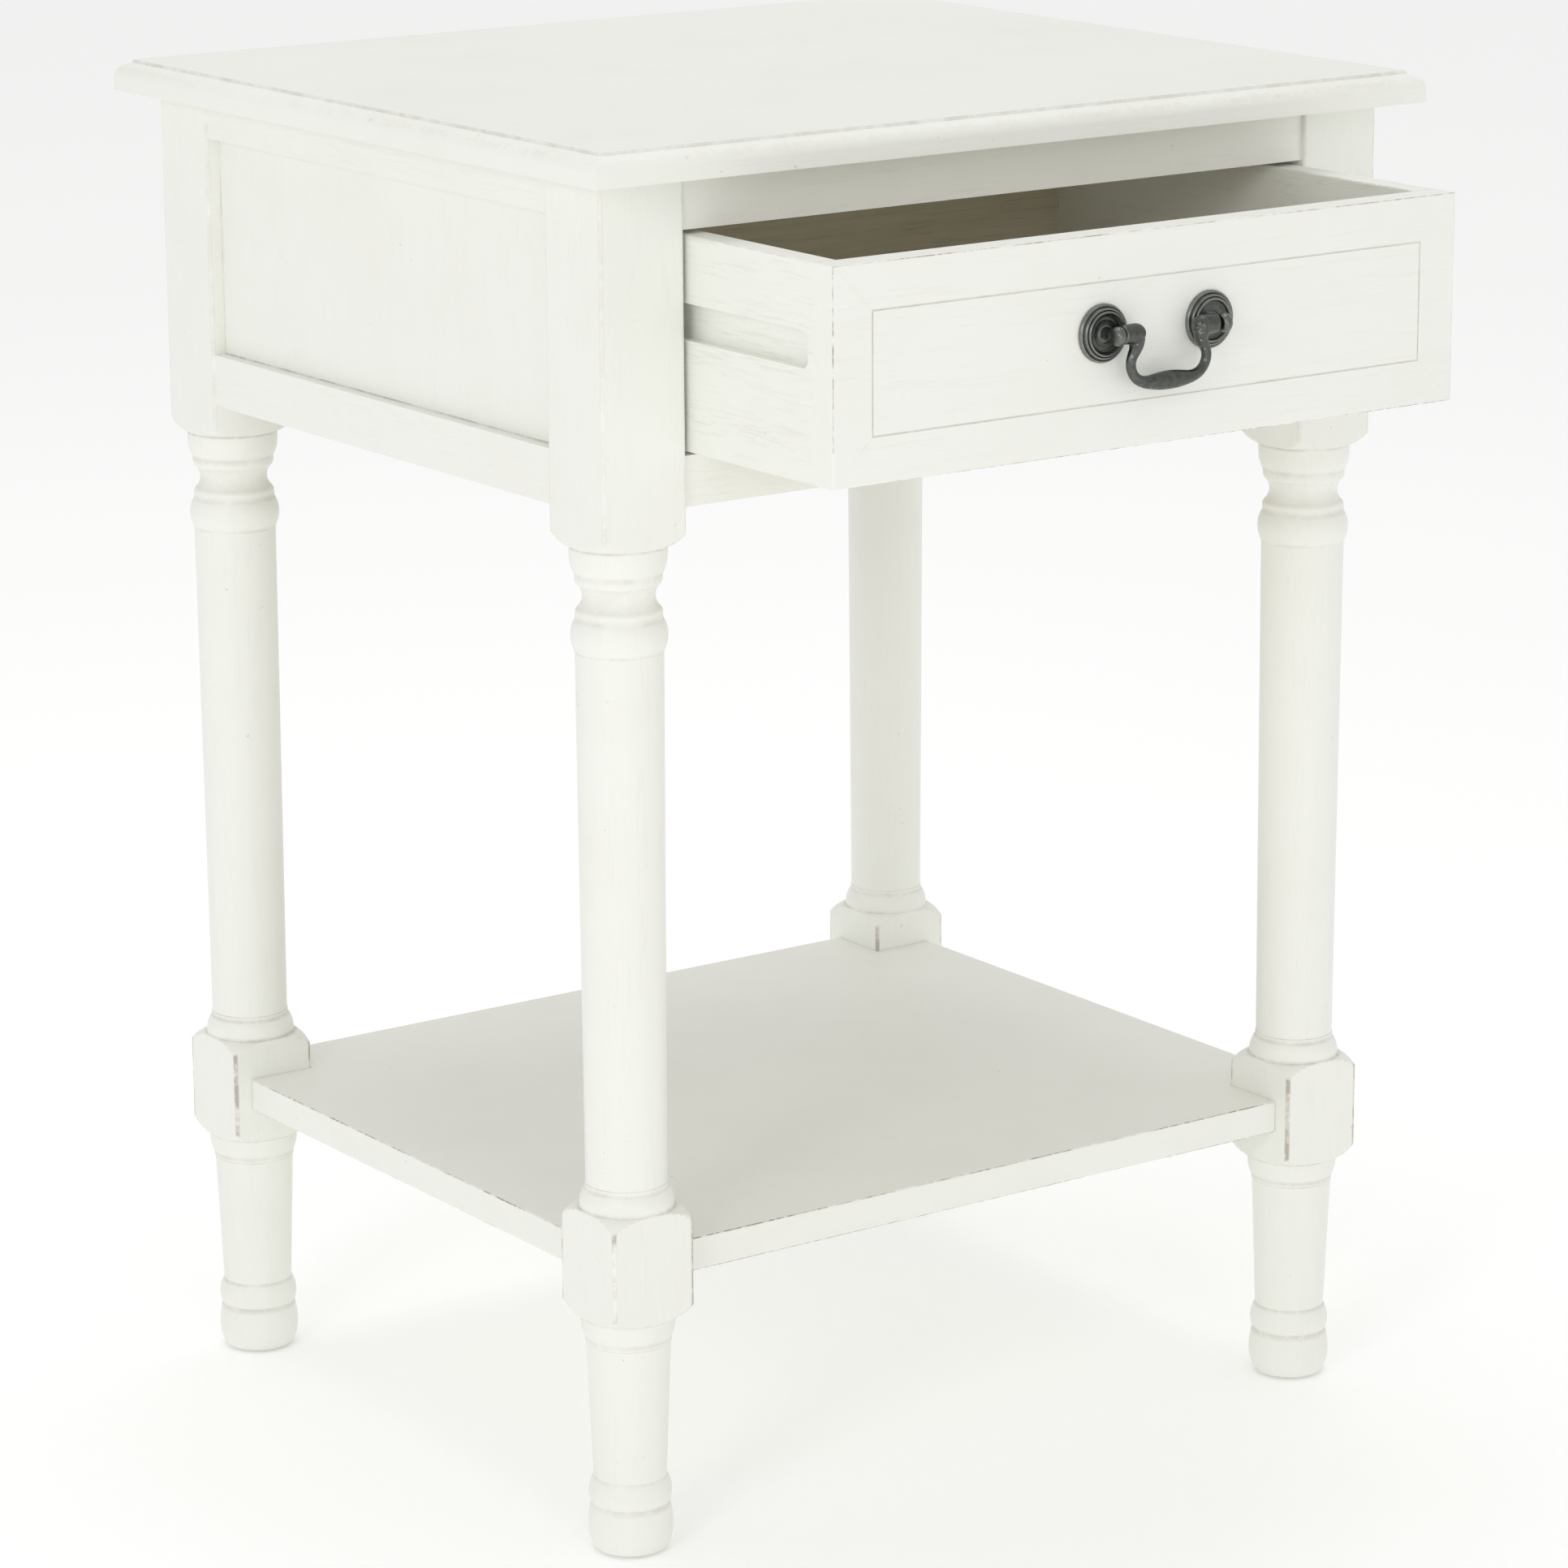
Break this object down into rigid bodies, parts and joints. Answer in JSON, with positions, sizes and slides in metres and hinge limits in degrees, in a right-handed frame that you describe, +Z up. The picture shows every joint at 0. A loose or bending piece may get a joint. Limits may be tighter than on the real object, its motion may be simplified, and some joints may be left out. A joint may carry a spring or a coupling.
{
  "type": "side table with drawer",
  "caption": "White painted wooden side table with turned legs, a lower shelf and a drawer that slides on side runners behind a dark bail pull.",
  "frame": {"origin": "middle of the whole footprint on the floor, taken with the drawer open as stored and its pull included", "axes": "+X along the front towards the right-hand side, +Y from the front to the back, +Z up; the drawer opens towards -Y"},
  "size_m": [0.46, 0.5156, 0.64],
  "materials": {
    "painted_wood": "off-white satin paint, worn through along the edges",
    "bare_wood": "bare planed softwood",
    "dark_pewter": "dark antiqued pewter on a cast zinc alloy, brushed brighter on the high spots",
    "zinc_steel": "zinc plated",
    "nylon": "moulded white nylon"
  },
  "bodies": {
    "frame": {"top_panel": "painted_wood", "leg_front_left": "painted_wood", "leg_front_right": "painted_wood", "leg_back_left": "painted_wood", "leg_back_right": "painted_wood", "foot_glide_front_left": "nylon", "foot_glide_front_right": "nylon", "foot_glide_back_left": "nylon", "foot_glide_back_right": "nylon", "front_top_rail": "painted_wood", "front_bottom_rail": "painted_wood", "left_top_rail": "painted_wood", "left_bottom_rail": "painted_wood", "left_panel": "painted_wood", "right_top_rail": "painted_wood", "right_bottom_rail": "painted_wood", "right_panel": "painted_wood", "back_top_rail": "painted_wood", "back_bottom_rail": "painted_wood", "back_panel": "painted_wood", "top_cleat_left": "bare_wood", "top_cleat_right": "bare_wood", "cleat_screws": "zinc_steel", "top_screws": "zinc_steel", "shelf": "painted_wood", "shelf_dowels": "bare_wood", "drawer_runner_left": "bare_wood", "drawer_runner_right": "bare_wood", "runner_screws": "zinc_steel"},
    "drawer": {"drawer_front": "painted_wood", "drawer_side_left": "painted_wood", "drawer_side_right": "painted_wood", "drawer_back": "bare_wood", "drawer_bottom": "bare_wood", "drawer_dowels": "bare_wood", "drawer_bottom_pins": "zinc_steel", "rosette_left": "dark_pewter", "rosette_right": "dark_pewter", "pull_post_left": "dark_pewter", "pull_post_right": "dark_pewter", "pull_washers": "zinc_steel", "pull_nuts": "zinc_steel"},
    "bail": {"bail": "dark_pewter"}
  },
  "joints": [
    {"name": "drawer_slide", "type": "slide", "parent": "frame", "child": "drawer", "axis": [0, -1, 0], "range_m": [-0.108, 0.092]},
    {"name": "bail_hinge", "type": "hinge", "parent": "drawer", "child": "bail", "pos_m": [0, -0.25205, 0.5565], "axis": [-1, 0, 0], "range_deg": [-15, 190]}
  ]
}
